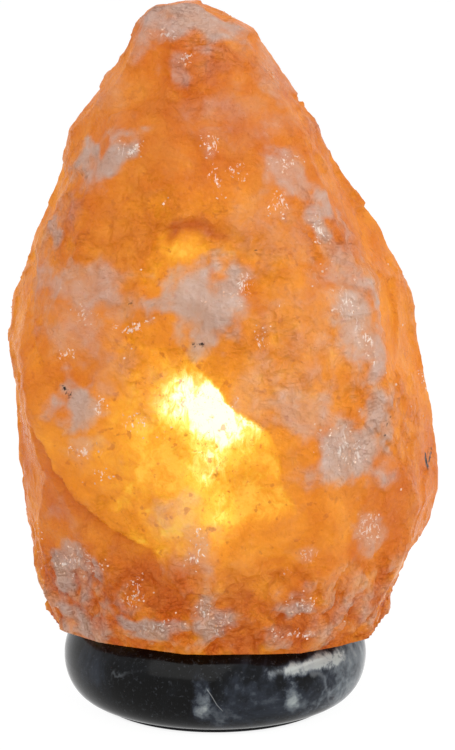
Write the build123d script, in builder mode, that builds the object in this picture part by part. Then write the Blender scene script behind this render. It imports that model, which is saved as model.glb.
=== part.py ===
from build123d import *

import os
from math import cos, radians, sin, sqrt

os.makedirs("parts", exist_ok=True)

# Salt crystal lamp. Millimetres, +Z up, the photographed front faces -Y.
# The origin is on the base's axis, in the plane the lamp stands on.

# Felt pad: a ring, open at the rear for the cord
pad_thickness = 2.0
pad_margin = 2.0
pad_hole_margin = 3.0
pad_gap_margin = 2.5

# Marble base
base_radius = 51.0
base_thickness = 27.0
base_bulge_height = 13.5
base_flat_radius = 41.5
base_hole_radius = 22.0
base_edge_break = 0.8
slot_width = 8.0
slot_depth = 9.0

# Glue joint
glue_thickness = 0.6
glue_width = 17.0
glue_margin = 2.0

# Salt crystal: bore and outer form
bore_radius = 21.0
bulb_headroom = 3.8
crystal_height = 206.6
crystal_wander = 0.035
crystal_waves = 4

# Sections of the lump, from the sawn foot up, in hundredths of its height. Each lies on a tilted plane through
# its left, right and front edges: left and its height, right and its height, front and its height, then the back
crystal_sections = (
    (-27.2, 0.0, 28.2, 0.0, -24.4, 0.0, 22.7),
    (-29.6, 9.9, 30.1, 6.5, -27.3, 5.8, 25.2),
    (-31.0, 18.9, 35.1, 16.2, -28.6, 16.0, 26.6),
    (-31.8, 27.1, 36.1, 21.5, -29.0, 24.2, 27.6),
    (-32.1, 39.0, 35.0, 33.9, -29.5, 34.8, 28.3),
    (-33.9, 45.5, 33.7, 42.6, -28.8, 46.0, 27.6),
    (-32.2, 52.8, 31.3, 54.2, -26.6, 55.2, 25.9),
    (-28.8, 63.4, 25.8, 64.9, -23.5, 62.0, 22.0),
    (-25.0, 72.6, 20.8, 72.1, -19.6, 72.6, 18.4),
    (-23.2, 79.6, 16.5, 80.1, -16.5, 81.3, 14.5),
    (-16.1, 90.0, 9.9, 91.2, -11.6, 89.5, 10.2),
    (-12.0, 97.3, 6.2, 96.1, -7.5, 96.3, 6.3),
    (-9.9, 99.7, -2.4, 100.0, -2.9, 100.0, 2.4),
)

# Bearing of each corner, counted from the right side, and its reach as a share of the section
crystal_corners = (
    (0, 1.00),
    (34, 0.97),
    (61, 1.04),
    (92, 0.97),
    (124, 1.03),
    (155, 0.97),
    (180, 1.00),
    (214, 1.08),
    (233, 0.97),
    (261, 0.99),
    (296, 1.06),
    (322, 1.06),
)

# Cleavage facets: bearing, height above the sawn foot, distance from the axis, and lean towards the top
crystal_facets = (
    (226, 10.6, 27.6, -12),
    (268, 6.8, 25.4, -12),
    (311, 12.6, 30.3, -12),
    (303, 44.5, 30.3, 9),
    (341, 44.5, 31.4, 12),
    (350, 72.6, 21.9, 25),
    (244, 59.1, 25.2, 15),
    (300, 69.7, 22.5, 24),
    (264, 84.2, 15.2, 34),
    (212, 67.8, 25.4, 21),
    (20, 62.9, 26.6, 27),
    (70, 46.5, 27.3, 10),
    (112, 67.8, 20.8, 30),
    (140, 29.0, 29.3, 0),
    (48, 19.4, 31.5, -8),
)

# Shell-shaped chips: bearing, height above the sawn foot, least distance from the axis, ball radius
crystal_chips = (
    (263, 32.9, 26.4, 48.4),
    (257, 53.7, 24.9, 36.3),
    (100, 33.9, 24.7, 38.7),
    (172, 24.2, 30.5, 53.2),
    (52, 62.0, 22.0, 43.6),
)

# Spring clip, with three bowed arms
clip_thickness = 0.6
clip_width = 9.0
clip_hub_radius = 10.0
clip_drop = 5.0
clip_leg_clearance = 0.5
clip_bow_radius = 20.0
clip_bow_start = -35.0
clip_bow_end = 38.0
clip_clearance = 0.3
clip_bearings = (90, 210, 330)

# Nipple, nut, washer and bush
nipple_radius = 5.0
nipple_bore_radius = 3.6
nipple_reach_up = 5.6
nipple_reach_down = 10.0
nut_across_flats = 14.0
nut_thickness = 3.0
washer_radius = 7.2
washer_thickness = 0.8
washer_teeth = 10
bush_radius = 6.6
bush_bore_radius = 3.0
bush_lip = 4.0
bush_cover = 3.0
bush_rounding = 1.2

# Lampholder, moulded in two halves
cap_radius = 13.0
cap_height = 13.0
cap_floor = 2.6
cap_wall = 1.8
cap_boss_radius = 7.5
cap_boss_height = 3.0
cap_chamfer = 0.8
grip_count = 24
grip_radius = 0.45
shell_radius = 12.8
shell_neck_radius = 11.2
shell_length = 33.0
shell_wall = 1.7
shell_spigot = 5.0
shell_mouth_depth = 1.0
spigot_clearance = 0.1
block_clearance = 0.2

# Contacts
block_thickness = 7.0
sleeve_wall = 0.35
sleeve_length = 18.0
sleeve_lip = 1.2
sleeve_clearance = 0.6
tongue_width = 4.0
tongue_thickness = 0.5
tongue_rise = 2.6
tongue_foot = 2.4
tongue_length = 7.2
screw_radius = 1.5
screw_head_radius = 2.6
screw_head_height = 1.8
screw_margin = 0.4
screw_length = 5.0

# Bulb: 14 mm screw cap and a clear tubular envelope
thread_pitch = 2.82
turns_to_release = 4.5
thread_clearance = 0.3
tip_clearance = 0.3
bulb_length = 57.0
bulb_radius = 12.5
bulb_shoulder_height = 11.0
glass_wall = 0.7
neck_in_cap = 7.0
tip_radius = 2.3
tip_height = 1.3
insulator_height = 3.6
insulator_foot_radius = 2.8
bulb_cap_radius = 6.75
bulb_cap_wall = 0.3
bulb_cap_height = 17.0
bulb_cap_bevel = 1.3
stem_radius = 2.4
stem_flare_height = 3.0
stem_height = 14.0
pinch_thickness = 2.2
pinch_height = 5.0
pinch_margin = 1.0
lead_radius = 0.3
lead_spread = 2.2
lead_bend = 1.5
filament_radius = 0.4
filament_span = 13.0
filament_height = 42.5
filament_sag = 1.6
support_radius = 0.2

# Heights that follow
base_bottom = pad_thickness
base_top = base_bottom + base_thickness
crystal_bottom = base_top + glue_thickness
clip_bottom = crystal_bottom - clip_drop
clip_top = clip_bottom + clip_thickness
washer_bottom = clip_bottom - washer_thickness
nut_bottom = washer_bottom - nut_thickness
nipple_bottom = clip_bottom - nipple_reach_down
nipple_top = clip_top + nipple_reach_up
bush_bottom = nipple_bottom - bush_lip
cap_bottom = clip_top
cap_top = cap_bottom + cap_height
shell_bottom = cap_top - shell_spigot
shell_top = cap_top + shell_length
sleeve_top = shell_top - 2 * shell_mouth_depth
sleeve_bottom = sleeve_top - sleeve_length
block_top = sleeve_bottom
block_bottom = block_top - block_thickness
tip_bottom = block_top + tongue_thickness + tongue_rise + tip_clearance
insulator_bottom = tip_bottom + tip_height
bulb_cap_bottom = insulator_bottom + insulator_height
bulb_cap_top = bulb_cap_bottom + bulb_cap_height
glass_bottom = bulb_cap_top - neck_in_cap
bulb_top = tip_bottom + bulb_length
stem_top = glass_bottom + stem_height
filament_level = tip_bottom + filament_height

# Radii that follow
neck_radius = bulb_cap_radius - bulb_cap_wall
sleeve_bore_radius = bulb_cap_radius + thread_clearance
sleeve_radius = sleeve_bore_radius + sleeve_wall
cap_bore_radius = cap_radius - cap_wall
spigot_radius = cap_bore_radius - spigot_clearance
block_radius = spigot_radius - shell_wall - block_clearance
screw_circle_radius = block_radius - screw_head_radius - screw_margin
apex_radius = sqrt((bore_radius - clip_clearance) ** 2 - (clip_width / 2) ** 2) - clip_thickness / 2

unscrewed_top = bulb_top + thread_pitch * turns_to_release
bore_end = unscrewed_top + bulb_headroom
print(f"bulb top {bulb_top:.2f}, unscrewed {unscrewed_top:.2f}, bore end {bore_end:.2f}")
print(f"cord inlet at {bush_bottom:.2f}, filament at {filament_level:.2f}")


def ring_sketch(outer, inner):
    Circle(outer)
    Circle(inner, mode=Mode.SUBTRACT)


def crystal_sizes(shares):
    return [share * crystal_height / 100 for share in shares]


# Felt pad under the base
pad_radius = base_flat_radius - pad_margin
with BuildPart() as felt_pad:
    with BuildSketch():
        ring_sketch(pad_radius, base_hole_radius + pad_hole_margin)
        with Locations((0, pad_radius / 2)):
            Rectangle(slot_width + 2 * pad_gap_margin, pad_radius, mode=Mode.SUBTRACT)
    extrude(amount=pad_thickness)
felt_pad.part.label = "felt_pad"

# Marble base: a turned disc with a bulged rim, a through hole and a cable slot to the rear
with BuildPart() as marble_base:
    with BuildSketch(Plane.XZ):
        with BuildLine():
            bulge_centre = (base_flat_radius, base_bottom + base_bulge_height)
            bulge_reach = base_radius - base_flat_radius
            shoulder = base_thickness - base_bulge_height
            lower_rim = EllipticalCenterArc(bulge_centre, bulge_reach, base_bulge_height, start_angle=270, arc_size=90)
            upper_rim = EllipticalCenterArc(bulge_centre, bulge_reach, shoulder, start_angle=0, arc_size=90)
            Polyline(upper_rim @ 1, (base_hole_radius, base_top), (base_hole_radius, base_bottom), lower_rim @ 0)
        make_face()
    revolve(axis=Axis.Z)
    hole_edges = marble_base.edges().filter_by(GeomType.CIRCLE).group_by(SortBy.RADIUS)[0]
    chamfer(hole_edges, length=base_edge_break)
    with BuildSketch(Plane.XY.offset(base_bottom)):
        with Locations((0, base_radius / 2)):
            Rectangle(slot_width, base_radius)
    extrude(amount=slot_depth, mode=Mode.SUBTRACT)
marble_base.part.label = "marble_base"

# Glue between the base and the sawn foot of the crystal
with BuildPart() as adhesive_ring:
    with BuildSketch(Plane.XY.offset(base_top)):
        ring_sketch(base_hole_radius + glue_margin + glue_width, base_hole_radius + glue_margin)
    extrude(amount=glue_thickness)
adhesive_ring.part.label = "adhesive_ring"

# Salt crystal: many-cornered sections joined by ruled faces, split along cleavage planes,
# chipped, and bored from its sawn foot
with BuildPart() as salt_crystal:
    for row in crystal_sections:
        left, left_height, right, right_height, front, front_height, back = crystal_sizes(row)
        level = left_height + (right_height - left_height) * left / (left - right)
        side_slope = (right_height - left_height) / (right - left)
        front_slope = (front_height - level) / front
        section = Plane(origin=(0, 0, crystal_bottom + level), z_dir=(-side_slope, -front_slope, 1))
        corners = []
        for bearing, reach in crystal_corners:
            wave = sin(radians(crystal_waves * 360 * level / crystal_height + 3 * bearing))
            wander = crystal_wander * sin(radians(2 * bearing)) * wave
            x = (left + right) / 2 + (reach + wander) * cos(radians(bearing)) * (right - left) / 2
            y = (front + back) / 2 + (reach + wander) * sin(radians(bearing)) * (back - front) / 2
            height = crystal_bottom + level + side_slope * x + front_slope * y
            corners.append(section.to_local_coords(Vector(x, y, height)))
        with BuildSketch(section):
            with BuildLine():
                Polyline(*corners, close=True)
            make_face()
    loft(ruled=True)
    for bearing, *shares, lean in crystal_facets:
        height, distance = crystal_sizes(shares)
        outward = Vector(1, 0, 0).rotate(Axis.Y, -lean).rotate(Axis.Z, bearing)
        foot_point = Vector(distance, 0, crystal_bottom + height).rotate(Axis.Z, bearing)
        split(bisect_by=Plane(origin=foot_point, z_dir=outward), keep=Keep.BOTTOM)
    for bearing, *shares in crystal_chips:
        height, distance, radius = crystal_sizes(shares)
        ball_centre = Vector(distance + radius, 0, crystal_bottom + height).rotate(Axis.Z, bearing)
        with Locations(ball_centre):
            Sphere(radius, mode=Mode.SUBTRACT)
    with BuildSketch(Plane.XZ):
        with BuildLine():
            dome = CenterArc((0, bore_end - bore_radius), bore_radius, 0, 90)
            Polyline(dome @ 1, (0, crystal_bottom), (bore_radius, crystal_bottom), dome @ 0)
        make_face()
    revolve(axis=Axis.Z, mode=Mode.SUBTRACT)
salt_crystal.part.label = "salt_crystal"

# Spring clip: a flat hub with three arms that rise beside the holder and bow out to the bore's wall
clip_middle = clip_bottom + clip_thickness / 2
leg_radius = cap_radius + grip_radius + clip_leg_clearance + clip_thickness / 2
with BuildPart() as spring_clip:
    with BuildSketch(Plane.XY.offset(clip_bottom)):
        ring_sketch(clip_hub_radius, nipple_radius)
    extrude(amount=clip_thickness)
    for bearing in clip_bearings:
        outward = Vector(1, 0, 0).rotate(Axis.Z, bearing)
        arm_plane = Plane(origin=(0, 0, clip_middle), x_dir=outward, z_dir=outward.cross(Vector(0, 0, 1)))
        with BuildSketch(arm_plane):
            with BuildLine():
                bow_reach = apex_radius - clip_bow_radius + clip_bow_radius * cos(radians(clip_bow_start))
                leg_height = (bow_reach - leg_radius) / -sin(radians(clip_bow_start)) * cos(radians(clip_bow_start))
                bow_centre = (apex_radius - clip_bow_radius,
                              leg_height - clip_bow_radius * sin(radians(clip_bow_start)))
                bow = CenterArc(bow_centre, clip_bow_radius, clip_bow_start, clip_bow_end - clip_bow_start)
                Line((leg_radius, 0), bow @ 0)
                Line(((nipple_radius + clip_hub_radius) / 2, 0), (leg_radius, 0))
            trace(line_width=clip_thickness)
        extrude(amount=clip_width / 2, both=True)
spring_clip.part.label = "spring_clip"

# Nipple: the hollow tube that carries holder, clip and bush
with BuildPart() as nipple:
    with BuildSketch(Plane.XY.offset(nipple_bottom)):
        ring_sketch(nipple_radius, nipple_bore_radius)
    extrude(amount=nipple_top - nipple_bottom)
    chamfer(nipple.edges().group_by(Axis.Z)[0].sort_by(SortBy.RADIUS)[-1], length=0.5)
nipple.part.label = "nipple"

# Toothed lock washer under the clip
with BuildPart() as lock_washer:
    with BuildSketch(Plane.XY.offset(washer_bottom)):
        ring_sketch(washer_radius, nipple_radius)
        with PolarLocations(washer_radius, washer_teeth):
            Circle(washer_thickness, mode=Mode.SUBTRACT)
    extrude(amount=washer_thickness)
lock_washer.part.label = "lock_washer"

# Hexagon nut under the washer
with BuildPart() as nipple_nut:
    with BuildSketch(Plane.XY.offset(nut_bottom)):
        RegularPolygon(nut_across_flats / 2, 6, major_radius=False)
        Circle(nipple_radius, mode=Mode.SUBTRACT)
    extrude(amount=nut_thickness)
    with BuildSketch(Plane.XZ):
        with BuildLine():
            Polyline((nut_across_flats / 2, nut_bottom), (nut_across_flats, nut_bottom),
                     (nut_across_flats, nut_bottom + nut_across_flats / 4), close=True)
        make_face()
    revolve(axis=Axis.Z, mode=Mode.SUBTRACT)
nipple_nut.part.label = "nipple_nut"

# Cord bush: a rounded cap over the nipple's lower end, the cord's inlet
with BuildPart() as cord_bush:
    with BuildSketch(Plane.XY.offset(bush_bottom)):
        ring_sketch(bush_radius, bush_bore_radius)
    extrude(amount=bush_lip + bush_cover)
    with BuildSketch(Plane.XY.offset(nipple_bottom)):
        Circle(nipple_radius)
    extrude(amount=bush_cover, mode=Mode.SUBTRACT)
    fillet(cord_bush.edges().group_by(Axis.Z)[0].sort_by(SortBy.RADIUS)[-1], radius=bush_rounding)
cord_bush.part.label = "cord_bush"

# Holder cap: a ribbed cup with a boss for the nipple
with BuildPart() as holder_cap:
    with BuildSketch(Plane.XY.offset(cap_bottom)):
        Circle(cap_radius)
        with PolarLocations(cap_radius, grip_count):
            Circle(grip_radius)
    extrude(amount=cap_height)
    with BuildSketch(Plane.XY.offset(cap_bottom + cap_floor)):
        Circle(cap_bore_radius)
        Circle(cap_boss_radius, mode=Mode.SUBTRACT)
    extrude(amount=cap_height, mode=Mode.SUBTRACT)
    with BuildSketch(Plane.XY.offset(cap_bottom + cap_floor + cap_boss_height)):
        Circle(cap_boss_radius)
    extrude(amount=cap_height, mode=Mode.SUBTRACT)
    with BuildSketch(Plane.XY.offset(cap_bottom)):
        Circle(nipple_radius)
    extrude(amount=cap_height, mode=Mode.SUBTRACT)
    with BuildSketch(Plane.XZ):
        with BuildLine():
            Polyline((cap_radius - cap_chamfer, cap_bottom), (cap_radius + cap_chamfer, cap_bottom),
                     (cap_radius + cap_chamfer, cap_bottom + 2 * cap_chamfer), close=True)
        make_face()
    revolve(axis=Axis.Z, mode=Mode.SUBTRACT)
holder_cap.part.label = "holder_cap"

# Holder shell: a stepped tube, its spigot in the cap, its ledge on the contact block
with BuildPart() as holder_shell:
    with BuildSketch(Plane.XZ):
        with BuildLine():
            Polyline(
                (block_radius + block_clearance, shell_bottom),
                (spigot_radius, shell_bottom),
                (spigot_radius, cap_top),
                (shell_radius, cap_top),
                (shell_radius, block_top),
                (shell_neck_radius, block_top + shell_radius - shell_neck_radius),
                (shell_neck_radius, shell_top),
                (sleeve_radius + sleeve_clearance + shell_mouth_depth, shell_top),
                (sleeve_radius + sleeve_clearance, shell_top - shell_mouth_depth),
                (sleeve_radius + sleeve_clearance, block_top),
                (block_radius + block_clearance, block_top),
                close=True,
            )
        make_face()
    revolve(axis=Axis.Z)
holder_shell.part.label = "holder_shell"

# Terminal screws under the contact block
with BuildPart() as terminal_screws:
    with BuildSketch(Plane.XY.offset(block_bottom)):
        with PolarLocations(screw_circle_radius, 2):
            Circle(screw_radius)
    extrude(amount=screw_length)
    with BuildSketch(Plane.XY.offset(block_bottom)):
        with PolarLocations(screw_circle_radius, 2):
            Circle(screw_head_radius)
    extrude(amount=-screw_head_height)
    chamfer(terminal_screws.edges().group_by(Axis.Z)[0], length=0.4)
terminal_screws.part.label = "terminal_screws"

# Contact block: an insulating disc with the screws' holes
with BuildPart() as contact_block:
    with BuildSketch(Plane.XY.offset(block_bottom)):
        Circle(block_radius)
    extrude(amount=block_thickness)
    with BuildSketch(Plane.XY.offset(block_bottom)):
        with PolarLocations(screw_circle_radius, 2):
            Circle(screw_radius)
    extrude(amount=screw_length, mode=Mode.SUBTRACT)
contact_block.part.label = "contact_block"

# Centre contact: a brass tongue that springs up under the bulb's tip
with BuildPart() as centre_contact:
    tongue_level = block_top + tongue_thickness / 2
    with BuildSketch(Plane.XZ):
        with BuildLine():
            FilletPolyline(
                (-tongue_length / 2 - tongue_foot / 2, tongue_level),
                (-tongue_length / 2 + tongue_foot / 2, tongue_level),
                (-tongue_foot / 2, tongue_level + tongue_rise),
                (tongue_foot, tongue_level + tongue_rise),
                radius=tongue_thickness,
            )
        trace(line_width=tongue_thickness)
    extrude(amount=tongue_width / 2, both=True)
centre_contact.part.label = "centre_contact"

# Threaded sleeve: a thin tube with a turned-in foot on the contact block
with BuildPart() as threaded_sleeve:
    with BuildSketch(Plane.XY.offset(sleeve_bottom)):
        ring_sketch(sleeve_radius, sleeve_bore_radius)
    extrude(amount=sleeve_length)
    with BuildSketch(Plane.XY.offset(sleeve_bottom)):
        ring_sketch(sleeve_radius, sleeve_bore_radius - sleeve_lip)
    extrude(amount=sleeve_wall)
threaded_sleeve.part.label = "threaded_sleeve"

# Bulb contact: the drop of solder at the tip
with BuildPart() as bulb_contact:
    with BuildSketch(Plane.XZ):
        with BuildLine():
            drop = TangentArc((0, tip_bottom), (tip_radius, insulator_bottom), tangent=(1, 0))
            Polyline(drop @ 1, (0, insulator_bottom), drop @ 0)
        make_face()
    revolve(axis=Axis.Z)
bulb_contact.part.label = "bulb_contact"

# Bulb insulator: a black glass cone with an eyelet for one lead
with BuildPart() as bulb_insulator:
    with BuildSketch(Plane.XZ):
        with BuildLine():
            Polyline(
                (lead_radius, insulator_bottom),
                (insulator_foot_radius, insulator_bottom),
                (bulb_cap_radius - bulb_cap_bevel, bulb_cap_bottom),
                (lead_radius, bulb_cap_bottom),
                close=True,
            )
        make_face()
    revolve(axis=Axis.Z)
bulb_insulator.part.label = "bulb_insulator"

# Bulb cap: the thin metal shell that carries the thread
with BuildPart() as bulb_cap:
    with BuildSketch(Plane.XZ):
        with BuildLine():
            Polyline(
                (bulb_cap_radius - bulb_cap_bevel - bulb_cap_wall, bulb_cap_bottom),
                (bulb_cap_radius - bulb_cap_bevel, bulb_cap_bottom),
                (bulb_cap_radius, bulb_cap_bottom + bulb_cap_bevel),
                (bulb_cap_radius, bulb_cap_top),
                (neck_radius, bulb_cap_top),
                (neck_radius, bulb_cap_bottom + bulb_cap_bevel),
                close=True,
            )
        make_face()
    revolve(axis=Axis.Z)
bulb_cap.part.label = "bulb_cap"


# Bulb glass: a thin clear envelope, open below for the stem
shoulder_level = bulb_cap_top + bulb_shoulder_height
waist_level = bulb_cap_top + bulb_shoulder_height / 2
crown_level = bulb_top - bulb_radius
with BuildPart() as bulb_glass:
    for inset, mode in ((0, Mode.ADD), (glass_wall, Mode.SUBTRACT)):
        neck_reach = neck_radius - inset
        side_reach = bulb_radius - inset
        waist = ((neck_reach + side_reach) / 2, waist_level)
        with BuildSketch(Plane.XZ):
            with BuildLine():
                Polyline((0, glass_bottom), (neck_reach, glass_bottom), (neck_reach, bulb_cap_top))
                TangentArc((neck_reach, bulb_cap_top), waist, tangent=(0, 1))
                TangentArc((side_reach, shoulder_level), waist, tangent=(0, -1))
                Line((side_reach, shoulder_level), (side_reach, crown_level))
                TangentArc((side_reach, crown_level), (0, bulb_top - inset), tangent=(0, 1))
                Line((0, bulb_top - inset), (0, glass_bottom))
            make_face()
        revolve(axis=Axis.Z, mode=mode)
bulb_glass.part.label = "bulb_glass"

# Lead wires: one from the tip and one from the cap, both through the stem to the filament's ends
lead_turn = glass_bottom - lead_bend
lead_routes = (
    ((0, insulator_bottom), (0, bulb_cap_bottom), (-lead_spread, lead_turn)),
    ((neck_radius - lead_radius, bulb_cap_bottom + 2 * bulb_cap_bevel), (lead_spread, lead_turn)),
)
with BuildPart() as lead_wires:
    for side, route in zip((-1, 1), lead_routes):
        with BuildLine(Plane.XZ):
            lead_path = FilletPolyline(
                *route,
                (side * lead_spread, stem_top + lead_bend),
                (side * filament_span / 2, filament_level - filament_radius - 2 * lead_bend),
                (side * filament_span / 2, filament_level - filament_radius),
                radius=lead_bend,
            )
        with BuildSketch(Plane(origin=lead_path @ 0, z_dir=lead_path % 0)):
            Circle(lead_radius)
        sweep(path=lead_path)
lead_wires.part.label = "lead_wires"

# Filament support: a hook that props the filament's middle
with BuildPart() as filament_support:
    with BuildSketch(Plane.XY.offset(stem_top)):
        Circle(support_radius)
    extrude(amount=filament_level + filament_sag - filament_radius - stem_top)
filament_support.part.label = "filament_support"

# Filament: a slack bow between the leads
with BuildPart() as filament:
    with BuildLine(Plane.XZ):
        filament_path = ThreePointArc(
            (-filament_span / 2 - filament_radius, filament_level),
            (0, filament_level + filament_sag),
            (filament_span / 2 + filament_radius, filament_level),
        )
    with BuildSketch(Plane(origin=filament_path @ 0, z_dir=filament_path % 0)):
        Circle(filament_radius)
    sweep(path=filament_path)
filament.part.label = "filament"

# Bulb stem: a flared glass foot, a tube and a flat pinch round the wires
with BuildPart() as bulb_stem:
    with BuildSketch(Plane.XZ):
        with BuildLine():
            flare = TangentArc((stem_radius, glass_bottom + stem_flare_height),
                               (neck_radius - glass_wall, glass_bottom), tangent=(0, -1))
            Polyline(flare @ 1, (0, glass_bottom), (0, stem_top - pinch_height),
                     (stem_radius, stem_top - pinch_height), flare @ 0)
        make_face()
    revolve(axis=Axis.Z)
    with BuildSketch(Plane.XY.offset(stem_top - pinch_height)):
        SlotOverall(2 * (lead_spread + lead_radius + pinch_margin), pinch_thickness)
    extrude(amount=pinch_height)
    add(lead_wires.part, mode=Mode.SUBTRACT)
bulb_stem.part.label = "bulb_stem"

pieces = (
    felt_pad, marble_base, adhesive_ring, salt_crystal,
    spring_clip, nipple, lock_washer, nipple_nut, cord_bush,
    holder_cap, holder_shell, contact_block, terminal_screws, centre_contact, threaded_sleeve,
    bulb_contact, bulb_insulator, bulb_cap, bulb_glass, bulb_stem, lead_wires, filament_support, filament,
)
for piece in pieces:
    export_step(piece.part, f"parts/{piece.part.label}.step")
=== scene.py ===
import math

import bmesh
import bpy
import numpy as np
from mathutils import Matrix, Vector, noise


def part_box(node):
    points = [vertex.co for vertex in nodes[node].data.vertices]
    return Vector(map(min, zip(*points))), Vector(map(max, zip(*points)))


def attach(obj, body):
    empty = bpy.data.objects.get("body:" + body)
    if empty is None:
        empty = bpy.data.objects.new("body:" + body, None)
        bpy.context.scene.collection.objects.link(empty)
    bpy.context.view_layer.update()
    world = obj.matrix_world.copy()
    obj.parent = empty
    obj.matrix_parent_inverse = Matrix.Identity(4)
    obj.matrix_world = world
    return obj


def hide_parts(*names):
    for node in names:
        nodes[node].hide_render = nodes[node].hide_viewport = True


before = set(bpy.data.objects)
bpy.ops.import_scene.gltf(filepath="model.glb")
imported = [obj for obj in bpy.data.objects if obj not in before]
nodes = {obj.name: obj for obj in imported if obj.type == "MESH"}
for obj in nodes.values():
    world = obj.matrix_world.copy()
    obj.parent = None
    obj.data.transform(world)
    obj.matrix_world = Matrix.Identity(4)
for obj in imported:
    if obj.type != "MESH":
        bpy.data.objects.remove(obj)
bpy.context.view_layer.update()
mm = 0.001
print("frame loaded:", len(nodes), "nodes")

# the photo's viewpoint, in metres and degrees
photoView = {
    "location": (0.00415, -1.15, 0.38255),
    "pitch": 13.263,
    "lens": 170.5,
    "sensor": 36.0,
    "farthest": 20.0,
}


def makeCamera():
    data = bpy.data.cameras.new("photoCamera")
    data.lens = photoView["lens"]
    data.sensor_width = photoView["sensor"]
    data.clip_end = photoView["farthest"]
    camera = bpy.data.objects.new("photoCamera", data)
    camera.location = photoView["location"]
    camera.rotation_euler = (math.radians(90 - photoView["pitch"]), 0, 0)
    bpy.context.scene.collection.objects.link(camera)
    bpy.context.scene.camera = camera


makeCamera()
print("camera placed")


def rgba(red, green, blue):
    return (red, green, blue, 1.0)


def newMaterial(name):
    material = bpy.data.materials.new(name)
    material.use_nodes = True
    material.node_tree.nodes.clear()
    return material


class Graph:
    # short calls for a tree's nodes: node gives the new node, the others its output socket
    def __init__(self, tree):
        self.tree = tree

    def node(self, kind, inputs=(), **settings):
        made = self.tree.nodes.new(kind)
        for key, value in settings.items():
            setattr(made, key, value)
        for key, value in dict(inputs).items():
            self.set(made.inputs[key], value)
        return made

    def set(self, socket, value):
        if isinstance(value, bpy.types.NodeSocket):
            self.tree.links.new(value, socket)
        else:
            socket.default_value = value

    def position(self, scale=(1, 1, 1), turn=(0, 0, 0)):
        coords = self.node("ShaderNodeTexCoord").outputs["Object"]
        values = {"Vector": coords, "Scale": scale, "Rotation": turn}
        return self.node("ShaderNodeMapping", values).outputs["Vector"]

    def noise(self, vector, scale, detail=3.0, rough=0.55, warp=0.0):
        values = {"Vector": vector, "Scale": scale, "Detail": detail, "Roughness": rough, "Distortion": warp}
        return self.node("ShaderNodeTexNoise", values).outputs["Fac"]

    def cells(self, vector, scale, feature="F1"):
        values = {"Vector": vector, "Scale": scale}
        return self.node("ShaderNodeTexVoronoi", values, feature=feature).outputs["Distance"]

    def ramp(self, factor, stops):
        made = self.node("ShaderNodeValToRGB", {"Fac": factor})
        elements = made.color_ramp.elements
        while len(elements) < len(stops):
            elements.new(1.0)
        for element, (place, colour) in zip(elements, stops):
            element.position = place
            element.color = rgba(*colour)
        return made.outputs["Color"]

    def between(self, value, low, high, lowTo=0.0, highTo=1.0):
        # eases a value's run from low to high into lowTo to highTo, and holds it there beyond them
        values = {"Value": value, "From Min": low, "From Max": high, "To Min": lowTo, "To Max": highTo}
        return self.node("ShaderNodeMapRange", values, interpolation_type="SMOOTHSTEP").outputs["Result"]

    def swing(self, pattern, lowTo, highTo):
        # a noise's usual run, made to go from lowTo to highTo
        return self.between(pattern, 0.25, 0.75, lowTo, highTo)

    def maths(self, operation, first, second=0.0):
        return self.node("ShaderNodeMath", {0: first, 1: second}, operation=operation).outputs[0]

    def add(self, first, second):
        return self.maths("ADD", first, second)

    def less(self, first, second):
        return self.maths("SUBTRACT", first, second)

    def times(self, first, second):
        return self.maths("MULTIPLY", first, second)

    def lines(self, pattern, width):
        # 1 along the thin lines where a noise crosses its middle
        return self.between(self.maths("ABSOLUTE", self.less(pattern, 0.5)), 0.0, width, 1.0, 0.0)

    def vector(self, operation, first, second=(0, 0, 0), result="Vector"):
        return self.node("ShaderNodeVectorMath", {0: first, 1: second}, operation=operation).outputs[result]

    def mix(self, factor, first, second, blend="MIX"):
        sockets = {0: factor, 6: first, 7: second}
        return self.node("ShaderNodeMix", sockets, data_type="RGBA", blend_type=blend).outputs[2]

    def attribute(self, name):
        return self.node("ShaderNodeAttribute", attribute_name=name).outputs["Fac"]

    def bump(self, height, strength, distance):
        values = {"Height": height, "Strength": strength, "Distance": distance}
        return self.node("ShaderNodeBump", values).outputs["Normal"]

    def surface(self, **inputs):
        named = {key.replace("_", " "): value for key, value in inputs.items()}
        shader = self.node("ShaderNodeBsdfPrincipled", named).outputs["BSDF"]
        self.node("ShaderNodeOutputMaterial", {"Surface": shader})


def newTree(name, inputs, whole=()):
    # a Geometry Nodes tree with a named input for each value; those in whole are whole numbers
    tree = bpy.data.node_groups.new(name, "GeometryNodeTree")
    tree.interface.new_socket("Geometry", in_out="INPUT", socket_type="NodeSocketGeometry")
    for given in inputs:
        kind = "NodeSocketInt" if given in whole else "NodeSocketFloat"
        tree.interface.new_socket(given, in_out="INPUT", socket_type=kind)
    tree.interface.new_socket("Geometry", in_out="OUTPUT", socket_type="NodeSocketGeometry")
    return tree, Graph(tree), tree.nodes.new("NodeGroupInput").outputs


def closeTree(graph, geometry, material):
    real = graph.node("GeometryNodeRealizeInstances", {"Geometry": geometry}).outputs[0]
    painted = graph.node("GeometryNodeSetMaterial", {"Geometry": real, "Material": material}).outputs[0]
    graph.node("NodeGroupOutput", {"Geometry": painted})


def inMetres(sizes, *asTheyAre):
    # millimetres to metres, except for values that are no length
    return {name: value if name in asTheyAre else value * mm for name, value in sizes.items()}


def grown(source, tree, values, name):
    # runs a node tree on a mesh and gives the result as a plain object
    piece = bpy.data.objects.new(name, source)
    bpy.context.scene.collection.objects.link(piece)
    modifier = piece.modifiers.new(name, "NODES")
    modifier.node_group = tree
    for item in tree.interface.items_tree:
        if item.item_type == "SOCKET" and item.in_out == "INPUT" and item.name in values:
            modifier[item.identifier] = values[item.name]
    depsgraph = bpy.context.evaluated_depsgraph_get()
    mesh = bpy.data.meshes.new_from_object(piece.evaluated_get(depsgraph))
    piece.modifiers.clear()
    mesh.name = name
    piece.data = mesh
    print(name, "made:", len(mesh.polygons), "faces")
    return piece


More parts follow.
